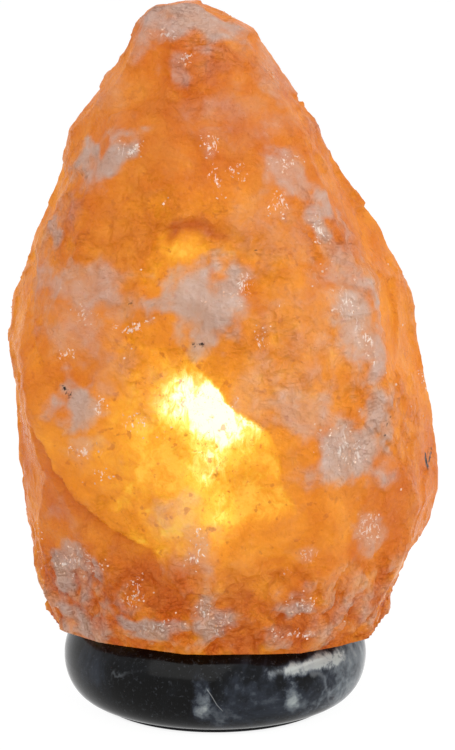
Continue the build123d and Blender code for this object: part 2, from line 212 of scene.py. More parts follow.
# studio
studio = {
    "floorSize": 8.0,
    "floorGap": 0.0001,  # the floor lies this much under the lamp
    "floorGrey": 0.80,
    "floorWhite": 1.07,
    "shadowKept": 0.10,
    "darkBelow": (0.032, 0.042),  # inside this radius, under the base, the whole shadow stays
    "skyStrength": 0.52,
    "lightsAim": (0, 0, 0.10),
    "softBoxes": {
        # name: place, size, watts, colour
        "stripLight": ((0.95, -0.35, 0.50), (0.9, 0.18), 5.5, (0.96, 1.0, 0.97)),
        "keyLight": ((-0.50, -1.05, 1.15), (1.6, 1.5), 11.0, (1.0, 1.0, 0.99)),
        "topLight": ((0.25, -0.20, 1.40), (0.8, 0.8), 2.5, (1.0, 1.0, 1.0)),
    },
}


def seenStraight(g):
    # 1 for what the camera, a mirror or a clear glass looks at
    path = g.node("ShaderNodeLightPath").outputs
    seen = g.maths("MAXIMUM", path["Is Camera Ray"], path["Is Glossy Ray"])
    return g.maths("MAXIMUM", seen, path["Is Transmission Ray"])


def makeSky():
    world = bpy.data.worlds.new("paleRoom")
    world.use_nodes = True
    world.node_tree.nodes.clear()
    g = Graph(world.node_tree)
    strength = g.between(seenStraight(g), 0, 1, studio["skyStrength"], 1.0)
    sky = g.node("ShaderNodeBackground", {"Color": rgba(1, 1, 1), "Strength": strength}).outputs[0]
    g.node("ShaderNodeOutputWorld", {"Surface": sky})
    bpy.context.scene.world = world


def makeFloorMaterial():
    # white to look at, grey where shadows fall, clear from below
    material = newMaterial("paleFloor")
    g = Graph(material.node_tree)
    grey = studio["floorGrey"]
    paint = g.node("ShaderNodeBsdfDiffuse", {"Color": rgba(grey, grey, grey)}).outputs[0]
    glow = {"Color": rgba(1, 1, 1), "Strength": studio["floorWhite"]}
    white = g.node("ShaderNodeEmission", glow).outputs[0]
    share = g.times(seenStraight(g), 1 - studio["shadowKept"])
    away = g.vector("LENGTH", g.position(), result="Value")
    share = g.times(share, g.between(away, *studio["darkBelow"]))
    top = g.node("ShaderNodeMixShader", {0: share, 1: paint, 2: white}).outputs[0]
    clear = g.node("ShaderNodeBsdfTransparent").outputs[0]
    below = g.node("ShaderNodeNewGeometry").outputs["Backfacing"]
    both = g.node("ShaderNodeMixShader", {0: below, 1: top, 2: clear}).outputs[0]
    g.node("ShaderNodeOutputMaterial", {"Surface": both})
    return material


def makeFloor():
    half = studio["floorSize"] / 2
    mesh = bpy.data.meshes.new("floor")
    corners = [(-half, -half, 0), (half, -half, 0), (half, half, 0), (-half, half, 0)]
    mesh.from_pydata(corners, [], [(0, 1, 2, 3)])
    mesh.materials.append(makeFloorMaterial())
    floor = bpy.data.objects.new("floor", mesh)
    floor.location = (0, 0, -studio["floorGap"])
    bpy.context.scene.collection.objects.link(floor)


def makeLights():
    for name, (place, size, watts, colour) in studio["softBoxes"].items():
        light = bpy.data.lights.new(name, "AREA")
        light.shape = "RECTANGLE"
        light.size, light.size_y = size
        light.energy = watts
        light.color = colour
        lamp = bpy.data.objects.new(name, light)
        lamp.location = place
        aim = Vector(studio["lightsAim"]) - Vector(place)
        lamp.rotation_euler = aim.to_track_quat("-Z", "Y").to_euler()
        bpy.context.scene.collection.objects.link(lamp)


makeSky()
makeFloor()
makeLights()
bpy.context.scene.view_settings.view_transform = "Standard"
print("studio lit")


# salt crystal, in millimetres and degrees; a place on its front is (x, z)
crystal = {
    "seed": 6,
    "voxel": 1.15,
    "boreRadius": 22.3,
    "boreTop": 129.5,
    "footLevel": 29.6,
    "filament": (0.0, -4.0, 97.0),
    # how painted and carved outlines wander, so that none is a clean ellipse or line: size, reach
    "wander": ((11.0, 5.5), (3.5, 2.2)),
    "ledgeWander": 0.45,
    # carving: how deep, how broad
    "broadDents": (1.1, 34.0),
    "cleavedFaces": (0.9, 17.0),
    "smallFaces": (0.45, 6.5),
    "flakes": (1.25, 8.5),
    "footChips": (1.3, 10.0),
    "roughGrain": (0.20, 2.6),
    "roughBelow": (50, 72),  # below this height the foot is chipped more
    "sunk": 0.25,  # the whole surface goes in by this much
    "carveLimits": (-4.0, 0.7),
    # ledges on the front: points (x, z) of the line, the side that drops, how deep, how far it runs out
    "ledges": {
        "sweep": (((-60, 107), (-52, 89), (-45, 81), (-32, 71), (-21, 64), (-13, 57)), -1, 2.4, 17.0),
        "spotEdge": (((-6, 127), (3, 117), (15, 109), (22, 95), (27, 77)), -1, 1.3, 12.0),
        "right": (((34, 196), (42, 176), (47, 165), (52, 150), (55, 131), (57, 112), (52, 99)), 1, 1.6, 7.0),
        "leftRim": (((-46, 180), (-54, 168), (-58, 150), (-58, 130), (-55, 118)), -1, 1.5, 6.0),
        "arch": (((-23, 146), (-24, 158), (-20, 167), (-9, 172), (2, 171), (9, 166), (12, 157)),
                 -1, 2.2, 13.0),
        "besideSpot": (((-26, 139), (-33, 131), (-38, 123), (-41, 108)), 1, 0.9, 9.0),
        "foot": (((-38, 50), (-30, 57), (-15, 54), (-4, 51), (12, 54)), -1, 1.5, 7.0),
        "rightInner": (((36, 160), (44, 148), (48, 132), (47, 118)), -1, 0.8, 6.0),
        "lowRight": (((58, 96), (64, 90), (70, 78)), 1, 1.2, 6.0),
    },
    # thin haze all over: size, share on the front, share on the rear
    "haze": (26.0, 0.30, 0.80),
    # frosted, pink-grey places on the front: (x, z), half sizes, turn in degrees, strength
    "frostPatches": (
        ((-5, 234), (24, 9), 0, 0.80),
        ((-20, 225), (4, 6), -25, 0.5),
        ((21, 214), (5, 12), 25, 0.4),
        ((-10, 217), (3, 6), 0, 0.45),
        ((25, 201), (7, 4), -20, 0.35),
        ((-35, 189), (11, 4.5), 38, 0.9),
        ((23, 184), (7, 6), -30, 0.6),
        ((35, 170), (4.5, 10), 15, 0.75),
        ((-53, 168), (4, 6), -25, 0.7),
        ((-58, 152), (4, 11), -5, 0.55),
        ((-41, 150), (15, 8), -5, 0.65),
        ((-32, 146), (10, 7), 20, 0.5),
        ((-45, 136), (10, 10), 0, 0.45),
        ((16, 168), (14, 12), 0, 0.28),
        ((8, 200), (16, 8), 0, 0.30),
        ((-5, 148), (13, 9.5), -5, 1.0),
        ((7, 153), (6, 4), 0, 0.6),
        ((-4, 136), (4, 7), 0, 0.8),
        ((38, 156), (6, 9), 20, 0.55),
        ((44, 142), (7, 14), 15, 0.8),
        ((50, 128), (5, 10), 5, 0.7),
        ((28, 112), (14, 7), -35, 0.5),
        ((14, 122), (9, 12), -25, 0.34),
        ((24, 142), (12, 10), 0, 0.28),
        ((30, 133), (16, 18), 0, 0.30),
        ((-34, 130), (9, 11), 0, 0.30),
        ((46, 97), (13, 9), -25, 0.95),
        ((54, 108), (5, 9), 30, 0.8),
        ((-44, 112), (6.5, 7), -10, 0.95),
        ((-42, 98), (6, 5), 0, 0.4),
        ((-50, 73), (3, 5), 0, 0.3),
        ((-47, 54), (8, 9), 30, 0.85),
        ((-31, 48), (5, 4), 30, 0.5),
        ((-21, 39), (12, 4), -8, 0.95),
        ((-46, 35), (10, 5), 0, 0.75),
        ((-50, 46), (13, 13), 0, 0.45),
        ((-20, 38), (22, 7), 0, 0.25),
        ((44, 45), (16, 12), 0, 0.20),
        ((-38, 40), (6, 5), 0, 0.5),
        ((3, 39), (5, 6), 0, 0.7),
        ((-4, 46), (3, 4), 40, 0.5),
        ((29, 49), (8, 4.5), -5, 0.8),
        ((24, 37), (9, 3), 0, 0.45),
        ((29, 65), (5, 4), 0, 0.35),
        ((50, 70), (4, 7), 20, 0.5),
        ((-6, 68), (4, 8), 0, 0.45),
    ),
    "plainLight": 0.38,
    "rearLight": (0.40, 55.0, 45.0),  # more light on the rear, from this distance on, fading over that
    # how strongly the inner light comes through on the front: (x, z), half sizes, turn, change
    "lightPatches": (
        ((-8, 98), (31, 35), 0, 0.50),
        ((-26, 95), (14, 22), 10, 0.14),
        ((8, 84), (20, 22), 0, 0.22),
        ((-9, 163), (8, 4), 0, 0.34),
        ((2, 160), (18, 9), 0, 0.14),
        ((10, 172), (14, 9), 0, 0.16),
        ((26, 158), (14, 8), 0, 0.16),
        ((63, 120), (8, 40), 0, 0.10),
        ((44, 74), (15, 14), 0, 0.08),
        ((-57, 118), (4, 22), 0, 0.10),
        ((-9, 169.8), (8, 1.9), 4, -0.75),
        ((1, 168.2), (4, 1.6), -30, -0.60),
        ((-15, 167.4), (4, 1.7), 40, -0.60),
        ((-45, 76), (13, 15), 40, -0.06),
        ((-25, 135), (12, 12), 0, 0.16),
        ((30, 134), (18, 20), 0, 0.30),
        ((44, 112), (10, 12), 0, 0.16),
        ((-15, 150), (10, 14), 0, 0.10),
        ((-14, 126), (14, 8), 0, 0.14),
        ((-16, 172), (10, 8), 0, 0.14),
        ((30, 80), (14, 16), 0, 0.16),
        ((-5, 182), (20, 8), 0, 0.10),
        ((-18, 55), (16, 5), 0, -0.30),
        ((6, 47), (14, 7), 0, -0.15),
        ((36, 42), (20, 7), 0, -0.15),
        ((62, 76), (8, 20), 0, -0.22),
        ((0, 205), (30, 16), 0, -0.06),
        ((-5, 176), (18, 8), 0, 0.16),
        ((38, 190), (8, 18), 20, -0.12),
        ((-58, 132), (5, 14), 0, -0.10),
    ),
    # light beside ledges: which line, which side of it, change, how far it reaches
    "ledgeLights": (
        ("sweep", 1, 0.26, 26.0),
        ("sweep", -1, -0.16, 16.0),
        ("spotEdge", -1, 0.22, 20.0),
        ("spotEdge", 1, 0.04, 14.0),
        ("right", 1, 0.16, 16.0),
        ("leftRim", -1, 0.22, 10.0),
        ("arch", -1, 0.24, 14.0),
        ("besideSpot", 1, 0.16, 14.0),
        ("rightInner", 1, -0.08, 8.0),
    ),
    # the bulb's bright spot on the clear front
    "hotPatches": (
        ((1, 112), (14, 12), -25, 1.30),
        ((-10, 116), (10, 13), 0, 0.80),
        ((-2, 97), (8, 13), 0, 0.66),
        ((1, 80), (6, 14), 0, 0.45),
        ((-22, 105), (8, 18), 0, 0.25),
        ((-14, 127), (7, 6), 0, 0.32),
    ),
    # clusters of little crystals, each with painted glints in it: (x, z), half sizes, turn, how many
    "glitterPatches": (
        ((-17, 227), (5, 2), 0, 0.7),
        ((-9, 220), (4, 2), 30, 0.7),
        ((-27, 193), (4, 3), 0, 0.8),
        ((-1, 195), (4, 3), -30, 0.8),
        ((0, 184), (2, 6), 10, 1.0),
        ((8, 186), (3, 2.5), 0, 0.9),
        ((23, 188), (6, 2), 0, 0.8),
        ((20, 175), (4, 5), 0, 0.8),
        ((34, 166), (3, 7), 15, 0.7),
        ((-42, 141), (4, 2.5), 0, 0.8),
        ((-26, 138), (7, 2), 8, 1.0),
        ((-48, 127), (4, 3), 20, 0.6),
        ((8, 151), (4, 4), 0, 0.9),
        ((16, 137), (2.5, 5), -10, 0.9),
        ((41, 145), (5, 8), 20, 0.5),
        ((48, 133), (2, 7), 10, 0.8),
        ((-36, 113), (3, 3), 0, 0.5),
        ((-25, 110), (6, 3), 20, 0.5),
        ((-42, 96), (6, 2.5), 0, 0.7),
        ((-35, 90), (3, 2), 0, 0.7),
        ((40, 100), (12, 6), -30, 0.4),
        ((-6, 67), (3, 7), 0, 0.6),
        ((-47, 56), (8, 6), 20, 0.5),
        ((-27, 50), (6, 3), 30, 0.7),
        ((-18, 40), (9, 3), 0, 0.5),
        ((-4, 46), (3, 4), 40, 0.9),
        ((3, 40), (4, 4), 0, 0.7),
        ((29, 49), (7, 3.5), 0, 0.8),
        ((24, 37), (8, 2), 0, 0.7),
        ((50, 72), (3, 7), 10, 0.8),
        ((30, 65), (4, 4), 0, 0.4),
    ),
    # small dark marks, near black and without glow: (x, z), half sizes, turn, strength
    "darkMarks": (
        ((-6.2, 133.5), (1.3, 0.8), 0, 0.50),
        ((-4.0, 133.8), (0.8, 1.0), 20, 0.55),
        ((-49, 117.5), (1.6, 0.8), -30, 0.51),
        ((-46.8, 115.5), (1.6, 1.3), -40, 0.49),
        ((69.8, 85.5), (0.4, 3.4), 12, 0.78),
        ((71.2, 85.5), (0.4, 3.4), -14, 0.72),
        ((70.5, 88.4), (1.7, 0.45), 0, 0.68),
        ((70.5, 86.4), (1.1, 0.4), 0, 0.62),
        ((56, 104), (0.8, 5.0), -20, 0.30),
        ((13, 163), (0.9, 0.6), 0, 0.4),
        ((-26.8, 146), (1.5, 1.2), 40, 0.36),
    ),
    # patterns of the salt: scale per metre, detail, roughness, distortion
    "patterns": {
        "mottle": (150.0, 6.0, 0.62, 0.5),
        "clouds": (55.0, 5.0, 0.6, 0.8),
        "grain": (620.0, 4.0, 0.65),
        "wisps": (230.0, 5.0, 0.62, 1.4),
        "rust": (330.0, 2.0, 0.5),
        "dirt": (850.0, 4.0, 0.7, 0.6),
        # the specks of the painted glints
        "paintedSparks": (800.0, 7.0, 0.8),
    },
    # the same for drawn out patterns, after how each is stretched and turned
    "drawnPatterns": {
        "streaks": ((1.9, 1.9, 0.9), (0.0, 0.25, 0.0), (230.0, 5.0, 0.62, 0.8)),
        "fissures": ((1.0, 1.0, 1.9), (0.0, 0.3, 0.4), (75.0, 5.0, 0.55, 1.6)),
        # the next two draw painted highlights: thin curved lips, and broken flashes
        "paintedLips": ((1.0, 1.0, 0.5), (0.0, 0.5, 0.0), (230.0, 2.0, 0.5, 1.0)),
        "paintedFlashes": ((1.0, 1.0, 0.5), (0.0, 0.35, 0.0), (640.0, 3.0, 0.65, 0.8)),
    },
    # chipped shells: scales, and how far a noise shakes them
    "bowls": 135.0,
    "smallBowls": 340.0,
    "shake": (110.0, 4.0, 0.013),
    # clear and frosted salt in outside light
    "clearColours": (
        (0.32, (0.40, 0.090, 0.014)),
        (0.50, (0.44, 0.125, 0.022)),
        (0.68, (0.46, 0.160, 0.036)),
    ),
    "paleColours": (
        (0.30, (0.41, 0.285, 0.235)),
        (0.50, (0.46, 0.350, 0.305)),
        (0.72, (0.51, 0.420, 0.390)),
    ),
    # light from inside: deep orange where little comes through, yellow where much does
    "glowColours": (
        (0.0, (0.20, 0.022, 0.0)),
        (0.25, (0.28, 0.060, 0.001)),
        (0.5, (0.37, 0.110, 0.002)),
        (0.75, (0.50, 0.180, 0.004)),
        (0.9, (0.60, 0.270, 0.010)),
        (1.0, (0.68, 0.400, 0.035)),
    ),
    "hotColours": (
        (0.0, (0.0, 0.0, 0.0)),
        (0.18, (0.06, 0.03, 0.001)),
        (0.38, (0.24, 0.17, 0.012)),
        (0.58, (0.52, 0.52, 0.14)),
        (0.80, (0.85, 1.0, 0.85)),
    ),
    # under frost: how much of the glow is hidden, and what shows where little and much comes through
    "veil": 0.88,
    "veiledGlow": (rgba(0.05, 0.018, 0.012), rgba(0.19, 0.088, 0.040)),
    # small things: their glow, and their colour in outside light; for the glints, a painted highlight
    "fissure": (rgba(0.16, 0.02, 0.0), rgba(0.32, 0.07, 0.012)),
    "rustGlow": rgba(0.20, 0.035, 0.002),
    "dirtGlow": rgba(0.16, 0.07, 0.012),
    "mark": (rgba(0.0, 0.0, 0.0), rgba(0.03, 0.022, 0.018)),
    "paintedGlint": (rgba(0.20, 0.15, 0.12), rgba(0.90, 0.86, 0.82)),
    "bumpDepth": 2.3,
    "roughness": (0.20, 0.55),
    "ior": 1.33,
    "gloss": 0.22,
}


def smoothStep(value, low, high):
    share = np.clip((value - low) / (high - low), 0, 1)
    return share * share * (3 - 2 * share)


def sampled(function, points):
    return np.array([function(Vector(p)) for p in points])


def fractal(points, size, octaves=3, shift=0.0):
    return sampled(lambda p: noise.fractal(p, 0.9, 2.1, octaves), points / size + shift)


def shellFlakes(points, size, shift):
    # shallow bowls that meet in sharp rims, as where salt is chipped
    near = sampled(lambda p: noise.voronoi(p)[0][0], points / size + shift)
    return near * near - 0.3


def cleavedFaces(points, size, shift):
    # flat patches, each tilted its own way, as where salt splits
    def height(p):
        p = p + 0.30 * noise.noise_vector(p * 1.6)
        centre = noise.voronoi(p)[1][0]
        tilt = noise.noise_vector(centre * 4.3)
        return (p - centre).dot(tilt) * 2.2 + 0.35 * tilt.x
    return sampled(height, points / size + shift)


def ledgeDepth(line, side, reach):
    # 1 just past the line on its low side, fading to 0 with distance, 0 on the standing side
    flat = ledgePoints[:, [0, 2]]
    nearest = np.full(len(flat), 1e9)
    signed = np.zeros(len(flat))
    along = np.zeros(len(flat))
    total = sum(math.dist(a, b) for a, b in zip(line, line[1:]))
    walked = 0.0
    for start, end in zip(line, line[1:]):
        a, b = np.array(start, float), np.array(end, float)
        length = np.linalg.norm(b - a)
        run = np.clip(((flat - a) @ (b - a)) / length**2, 0, 1)
        gap = flat - (a + run[:, None] * (b - a))
        distance = np.linalg.norm(gap, axis=1)
        cross = (b - a)[0] * gap[:, 1] - (b - a)[1] * gap[:, 0]
        closer = distance < nearest
        nearest = np.where(closer, distance, nearest)
        signed = np.where(closer, np.sign(cross) * distance * side, signed)
        along = np.where(closer, (walked + run * length) / total, along)
        walked += length
    ends = smoothStep(along, 0.0, 0.12) * (1 - smoothStep(along, 0.88, 1.0))
    return smoothStep(signed, -0.4, 1.1) * np.exp(-np.clip(signed, 0, None) / reach) * ends


def meshArrays(mesh):
    count = len(mesh.vertices)
    points = np.empty(count * 3)
    mesh.vertices.foreach_get("co", points)
    normals = np.empty(count * 3)
    mesh.vertex_normals.foreach_get("vector", normals)
    return points.reshape(-1, 3) / mm, normals.reshape(-1, 3)


def storeAttribute(mesh, name, values):
    layer = mesh.attributes.new(name, "FLOAT", "POINT")
    layer.data.foreach_set("value", values.astype(np.float32))


def keepInside(mesh, node):
    places = np.empty(len(mesh.vertices) * 3)
    mesh.vertices.foreach_get("co", places)
    low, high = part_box(node)
    mesh.vertices.foreach_set("co", np.clip(places.reshape(-1, 3), np.array(low), np.array(high)).ravel())
    mesh.update()


def makeCrystal():
    mesh = nodes["salt_crystal"].data.copy()
    mesh.name = "rockSalt"
    work = bmesh.new()
    work.from_mesh(mesh)
    bmesh.ops.remove_doubles(work, verts=work.verts, dist=0.01 * mm)
    work.to_mesh(mesh)
    work.free()
    mesh.materials.clear()
    lump = bpy.data.objects.new("rockSalt", mesh)
    bpy.context.scene.collection.objects.link(lump)
    remesh = lump.modifiers.new("evenFaces", "REMESH")
    remesh.mode = "VOXEL"
    remesh.voxel_size = crystal["voxel"] * mm
    remesh.use_smooth_shade = True
    depsgraph = bpy.context.evaluated_depsgraph_get()
    fine = bpy.data.meshes.new_from_object(lump.evaluated_get(depsgraph))
    lump.modifiers.clear()
    lump.data = fine
    print("crystal remeshed:", len(fine.vertices), "points")
    return lump


def wander(broadShift, fineShift):
    (broad, far), (fine, near) = crystal["wander"]
    swing = sampled(noise.noise, saltPoints / broad + broadShift) * far
    return swing + sampled(noise.noise, saltPoints / fine + fineShift) * near


noise.seed_set(crystal["seed"])  # or each run would carve another crystal
lump = makeCrystal()
saltPoints, saltNormals = meshArrays(lump.data)
saltRadius = np.hypot(saltPoints[:, 0], saltPoints[:, 1])
inBore = (saltRadius < crystal["boreRadius"]) & (saltPoints[:, 2] < crystal["boreTop"])
saltFront = smoothStep(-saltNormals[:, 1], 0.0, 0.4) * ~inBore
driftX = wander(5.0, 0.0)
driftZ = wander(-13.0, 9.0)
sideways = np.stack([driftX, np.zeros(len(saltPoints)), driftZ], axis=1)
ledgePoints = saltPoints + crystal["ledgeWander"] * sideways
ragged = fractal(saltPoints, 6.0, 4, 2.0)


def carving(name, pattern, *more):
    depth, size = crystal[name]
    return depth * pattern(saltPoints, size, *more)


def carveCrystal(mesh):
    z = saltPoints[:, 2]
    level = crystal["footLevel"]
    foot = smoothStep(z, level + 0.4, level + 3.0)
    rim = smoothStep(saltNormals[:, 2], -0.8, -0.3) * smoothStep(z, level - 0.5, level + 0.5)
    foot = np.maximum(foot, rim)
    low = 1 - smoothStep(z + driftZ, *crystal["roughBelow"])
    patchy = smoothStep(fractal(saltPoints, 30.0, 2, 11.0), -0.2, 0.4)
    broken = np.clip(np.maximum(0.3 + 0.7 * patchy, 1.5 * low), 0, 1.5)
    offset = carving("broadDents", fractal)
    offset += carving("cleavedFaces", cleavedFaces, 3.3)
    offset += carving("smallFaces", cleavedFaces, 8.1) * broken
    offset += carving("flakes", shellFlakes, 3.1) * broken
    offset += carving("footChips", cleavedFaces, 14.5) * low
    offset += carving("roughGrain", fractal)
    raised = np.clip(offset, -1.5, 1.5)
    for line, side, drop, reach in crystal["ledges"].values():
        offset -= drop * saltFront * ledgeDepth(line, side, reach)
    offset = np.clip(offset - crystal["sunk"], *crystal["carveLimits"]) * foot * ~inBore
    storeAttribute(mesh, "broken", broken)
    moved = saltPoints + saltNormals * offset[:, None]
    moved[:, 2] = np.where(z < level + 0.7, z, moved[:, 2])
    mesh.vertices.foreach_set("co", (moved * mm).ravel())
    keepInside(mesh, "salt_crystal")
    print("crystal carved:", offset.min().round(2), "to", offset.max().round(2), "mm")
    return raised, low


def patchReach(patch, drift):
    # distance from a patch's middle, 1 at its edge
    (middleX, middleZ), (halfX, halfZ), turn, strength = patch
    x = saltPoints[:, 0] + drift * driftX - middleX
    z = saltPoints[:, 2] + drift * driftZ - middleZ
    c, s = math.cos(math.radians(turn)), math.sin(math.radians(turn))
    return np.hypot((x * c + z * s) / halfX, (z * c - x * s) / halfZ)


def patchwork(patches, full, end, drift, rough=0.0):
    # the strongest patch at each point, full up to one reach and gone at the other
    result = np.zeros(len(saltPoints))
    for patch in patches:
        reach = patchReach(patch, drift) + rough
        result = np.maximum(result, patch[3] * (1 - smoothStep(reach, full, end)))
    return result


def frostOf(raised, low):
    x, z = saltPoints[:, 0], saltPoints[:, 2]
    size, frontHaze, rearHaze = crystal["haze"]
    frost = patchwork(crystal["frostPatches"], 0.45, 1.75, 1.0, 0.45 * ragged)
    haze = smoothStep(fractal(saltPoints, size, 4, 3.0), 0.0, 0.75)
    rear = smoothStep(saltNormals[:, 1], -0.2, 0.3)
    frost = np.maximum(frost * saltFront, haze * (frontHaze * saltFront + rearHaze * rear))
    # both rims stay clearer above the foot
    edge = smoothStep(np.abs(x + 1.5 * driftX) - 0.12 * (z - 100), 52, 62)
    frost *= 1 - 0.65 * (1 - rear) * edge * smoothStep(z, 72, 90)
    return np.clip(frost + (0.08 + 0.16 * low) * raised, 0, 1)


def lightOf(raised, low):
    rearShare, rearFrom, rearFade = crystal["rearLight"]
    gap = np.linalg.norm(saltPoints - np.array(crystal["filament"]), axis=1)
    fade = np.exp(-(np.clip(gap, rearFrom, None) - rearFrom) / rearFade)
    light = crystal["plainLight"] + rearShare * fade * (1 - saltFront)
    for patch in crystal["lightPatches"]:
        light += patch[3] * np.exp(-patchReach(patch, 0.4) ** 2) * saltFront
    for name, side, change, reach in crystal["ledgeLights"]:
        light += change * saltFront * ledgeDepth(crystal["ledges"][name][0], side, reach)
    # painted light and shade: in the low band the raised places glow more, elsewhere a little less
    light += (0.08 + 0.12 * low) * fractal(saltPoints, 13.0, 3, 21.0) + (0.22 * low - 0.06) * raised
    return np.clip(light, 0, 1)


def hotOf():
    hot = np.zeros(len(saltPoints))
    for patch in crystal["hotPatches"]:
        hot = np.maximum(hot, patch[3] * np.exp(-patchReach(patch, 0.45) ** 1.8))
    # one ledge cuts the bright spot off
    return hot * (1 - 0.9 * ledgeDepth(crystal["ledges"]["spotEdge"][0], 1, 40.0))


def paintCrystal(mesh, raised, low):
    clusters = crystal["glitterPatches"]
    scattered = smoothStep(fractal(saltPoints, 9.0, 2, 31.0), 0.45, 0.8)
    glitter = patchwork(clusters, 0.5, 1.4, 0.5) * saltFront
    glitter = np.maximum(glitter, scattered * (0.5 * (1 - saltFront) + 0.25 * saltFront))
    storeAttribute(mesh, "frost", np.where(inBore, 0.1, frostOf(raised, low)))
    storeAttribute(mesh, "light", np.where(inBore, 1.0, lightOf(raised, low)))
    storeAttribute(mesh, "hot", hotOf() * saltFront)
    storeAttribute(mesh, "glitter", np.where(inBore, 0, glitter))
    # painted highlight, strongest in the middle of each cluster
    storeAttribute(mesh, "paintedShine", patchwork(clusters, 0.0, 0.8, 0.5) * saltFront)
    storeAttribute(mesh, "dark", patchwork(crystal["darkMarks"], 0.6, 1.5, 0.0) * saltFront)


def saltPatterns(g):
    # by name, the patterns and painted values that the salt's colour, glow and bump share
    place = g.position()
    found = {name: g.noise(place, *values) for name, values in crystal["patterns"].items()}
    for name, (stretch, turn, values) in crystal["drawnPatterns"].items():
        found[name] = g.noise(g.position(stretch, turn), *values)
    scale, detail, far = crystal["shake"]
    shake = g.node("ShaderNodeTexNoise", {"Vector": place, "Scale": scale, "Detail": detail})
    shaken = g.vector("ADD", place, g.vector("MULTIPLY", shake.outputs["Color"], (far, far, far)))
    for name in ("bowls", "smallBowls"):
        found[name] = g.cells(shaken, crystal[name])
    for name in ("frost", "light", "hot", "glitter", "paintedShine", "dark", "broken"):
        found[name] = g.attribute(name)
    return found


def saltGlow(g, p, frosted):
    level = g.add(p["light"], g.swing(p["clouds"], -0.05, 0.05))
    level = g.add(level, g.swing(p["wisps"], -0.07, 0.08))
    # painted shade: the glow is brighter in the hollows of the chipped bowls and dimmer towards their rims
    level = g.add(level, g.times(p["broken"], g.between(p["bowls"], 0.1, 0.7, 0.08, -0.13)))
    glow = g.ramp(level, crystal["glowColours"])
    glow = g.mix(g.times(frosted, crystal["veil"]), glow, g.mix(p["light"], *crystal["veiledGlow"]))
    hotLevel = g.times(p["hot"], g.between(p["streaks"], 0.2, 0.8, 0.62, 1.35))
    return g.mix(1.0, glow, g.ramp(hotLevel, crystal["hotColours"]), "ADD")


def paintedSaltGlints(g, p):
    # painted highlights: curved bright lips and specks in the clusters, and broken flashes in the middle of
    # each
    paintedLips = g.times(g.lines(p["paintedLips"], 0.028), g.between(p["wisps"], 0.50, 0.60))
    paintedGlints = g.maths("MAXIMUM", g.between(p["paintedSparks"], 0.60, 0.70), paintedLips)
    paintedGlints = g.times(paintedGlints, g.between(p["glitter"], 0.10, 0.6, 0.0, 0.9))
    paintedFlashes = g.add(p["paintedShine"], g.between(p["paintedFlashes"], 0.35, 0.65, -0.95, 0.25))
    return g.maths("MAXIMUM", paintedGlints, g.between(paintedFlashes, 0.30, 0.75, 0.0, 0.6))


def makeSaltMaterial():
    material = newMaterial("rockSalt")
    g = Graph(material.node_tree)
    p = saltPatterns(g)
    frosted = g.between(g.add(p["frost"], g.swing(p["mottle"], -0.09, 0.09)), 0.06, 0.95, 0.0, 0.95)
    clear = g.ramp(p["clouds"], crystal["clearColours"])
    colour = g.mix(frosted, clear, g.ramp(p["mottle"], crystal["paleColours"]))
    glow = saltGlow(g, p, frosted)

    # thin cracks, deeper in colour
    fissure = g.times(g.lines(p["fissures"], 0.014), g.between(p["clouds"], 0.42, 0.62, 1.0, 0.0))
    fissure = g.times(fissure, g.between(p["broken"], 0.4, 1.4, 0.0, 0.8))
    fissureGlow, fissureColour = crystal["fissure"]
    glow = g.mix(g.times(fissure, 0.22), glow, fissureGlow)
    colour = g.mix(g.times(fissure, 0.2), colour, fissureColour)

    # rusty and dark grains
    rust = g.between(p["rust"], 0.62, 0.72, 0.0, 0.55)
    glow = g.mix(rust, glow, crystal["rustGlow"])
    dirt = g.times(g.between(p["dirt"], 0.60, 0.68), g.between(p["hot"], 0.05, 0.35, 0.0, 0.8))
    glow = g.mix(dirt, glow, crystal["dirtGlow"])
    # small dark marks, near black and without glow
    mark = g.between(g.add(p["dark"], g.between(p["grain"], 0.2, 0.8, -0.25, 0.25)), 0.30, 0.55)
    paintedGlints = paintedSaltGlints(g, p)
    # the marks go near black; the glints are painted highlights, pale in colour and glow
    for share, (shareGlow, shareColour) in ((mark, crystal["mark"]), (paintedGlints, crystal["paintedGlint"])):
        glow = g.mix(share, glow, shareGlow)
        colour = g.mix(share, colour, shareColour)

    shells = g.add(g.times(p["bowls"], 1.1), g.times(p["smallBowls"], 0.55))
    height = g.add(g.times(shells, p["broken"]), p["mottle"])
    height = g.add(height, g.times(p["grain"], 0.55))
    height = g.less(height, g.times(fissure, 0.35))
    g.surface(
        Base_Color=colour,
        Roughness=g.between(g.add(frosted, g.times(p["grain"], 0.4)), 0.1, 1.3, *crystal["roughness"]),
        Emission_Color=glow,
        Emission_Strength=1.0,
        IOR=crystal["ior"],
        Specular_IOR_Level=crystal["gloss"],
        Normal=g.bump(height, 1.0, crystal["bumpDepth"] * mm),
    )
    return material


# little clear crystals that sit in the frost, in millimetres
saltGrains = {
    "Grains per square metre": 300000.0,
    "Smallest": 0.2,
    "Largest": 0.7,
    "Slimness": 0.35,
    "Seed": 7,
}


def grainTree(material):
    tree, g, given = newTree("saltGrains", saltGrains, ("Seed",))
    glitter = g.node("GeometryNodeInputNamedAttribute", {"Name": "glitter"}).outputs["Attribute"]
    scattered = g.node("GeometryNodeDistributePointsOnFaces", {
        "Mesh": given["Geometry"],
        "Density": g.times(glitter, given["Grains per square metre"]),
        "Seed": given["Seed"],
    }).outputs["Points"]
    smallest = g.node("ShaderNodeCombineXYZ", {
        "X": given["Smallest"],
        "Y": given["Smallest"],
        "Z": g.times(given["Smallest"], given["Slimness"]),
    }).outputs[0]
    sizes = {"Min": smallest, "Max": given["Largest"], "Seed": given["Seed"]}
    turns = {"Max": (math.tau, math.tau, math.tau)}
    placed = g.node("GeometryNodeInstanceOnPoints", {
        "Points": scattered,
        "Instance": g.node("GeometryNodeMeshCube").outputs["Mesh"],
        "Rotation": g.node("FunctionNodeRandomValue", turns, data_type="FLOAT_VECTOR").outputs["Value"],
        "Scale": g.node("FunctionNodeRandomValue", sizes, data_type="FLOAT_VECTOR").outputs["Value"],
    }).outputs["Instances"]
    closeTree(g, placed, material)
    return tree


